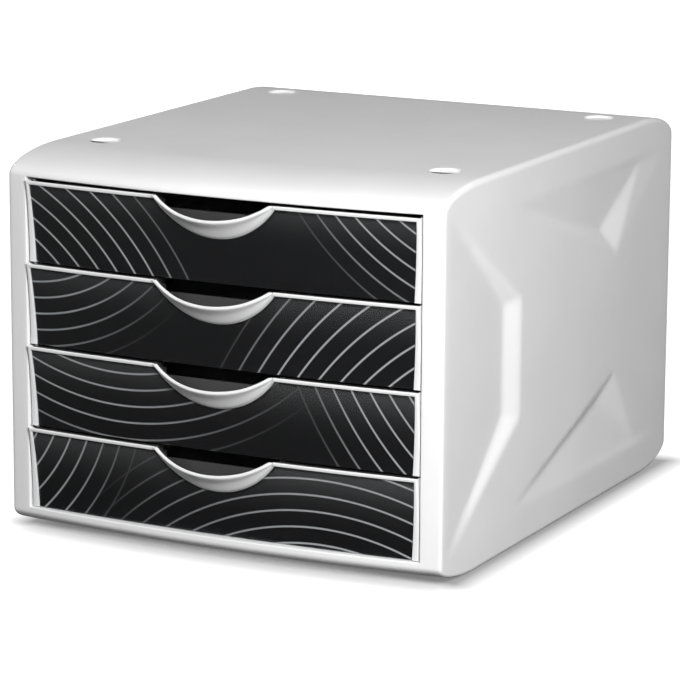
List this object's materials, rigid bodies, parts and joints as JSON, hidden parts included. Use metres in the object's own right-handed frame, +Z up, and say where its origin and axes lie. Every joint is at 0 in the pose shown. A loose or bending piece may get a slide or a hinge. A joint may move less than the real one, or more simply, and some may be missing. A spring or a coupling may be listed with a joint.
{
  "type": "letter tray stack with drawers",
  "caption": "Desktop drawer box: white moulded shell with bowed front and sculpted sides, closed drawers with black glossy fronts, curved white grip lips and finger pockets.",
  "frame": {"origin": "centre of the overall box, on the surface the feet stand on", "axes": "+X to the right seen from the front, +Y to the back, +Z up; the drawers open along -Y"},
  "size_m": [0.262, 0.33, 0.212],
  "materials": {
    "housing_white": "satin moulded polystyrene, white",
    "inner_grey": "plain moulded polystyrene, light grey",
    "drawer_white": "satin moulded polystyrene, white",
    "printed_card": "black printed card with fine white lines",
    "clear_plastic": "clear glossy polystyrene",
    "foot_rubber": "black rubber pad"
  },
  "bodies": {
    "housing": {"housing_shell": "housing_white", "base_plate": "inner_grey", "back_panel": "inner_grey", "runner_left": "inner_grey", "runner_right": "inner_grey", "foot_front_left": "foot_rubber", "foot_front_right": "foot_rubber", "foot_rear_left": "foot_rubber", "foot_rear_right": "foot_rubber"},
    "drawer_1": {"drawer_tray_1": "drawer_white", "insert_card_1": "printed_card", "clear_cover_1": "clear_plastic"},
    "drawer_2": {"drawer_tray_2": "drawer_white", "insert_card_2": "printed_card", "clear_cover_2": "clear_plastic"},
    "drawer_3": {"drawer_tray_3": "drawer_white", "insert_card_3": "printed_card", "clear_cover_3": "clear_plastic"},
    "drawer_4": {"drawer_tray_4": "drawer_white", "insert_card_4": "printed_card", "clear_cover_4": "clear_plastic"}
  },
  "joints": [
    {"name": "drawer_1_slide", "type": "slide", "parent": "housing", "child": "drawer_1", "axis": [0, -1, 0], "range_m": [0, 0.239]},
    {"name": "drawer_2_slide", "type": "slide", "parent": "housing", "child": "drawer_2", "axis": [0, -1, 0], "range_m": [0, 0.239]},
    {"name": "drawer_3_slide", "type": "slide", "parent": "housing", "child": "drawer_3", "axis": [0, -1, 0], "range_m": [0, 0.239]},
    {"name": "drawer_4_slide", "type": "slide", "parent": "housing", "child": "drawer_4", "axis": [0, -1, 0], "range_m": [0, 0.239]}
  ]
}
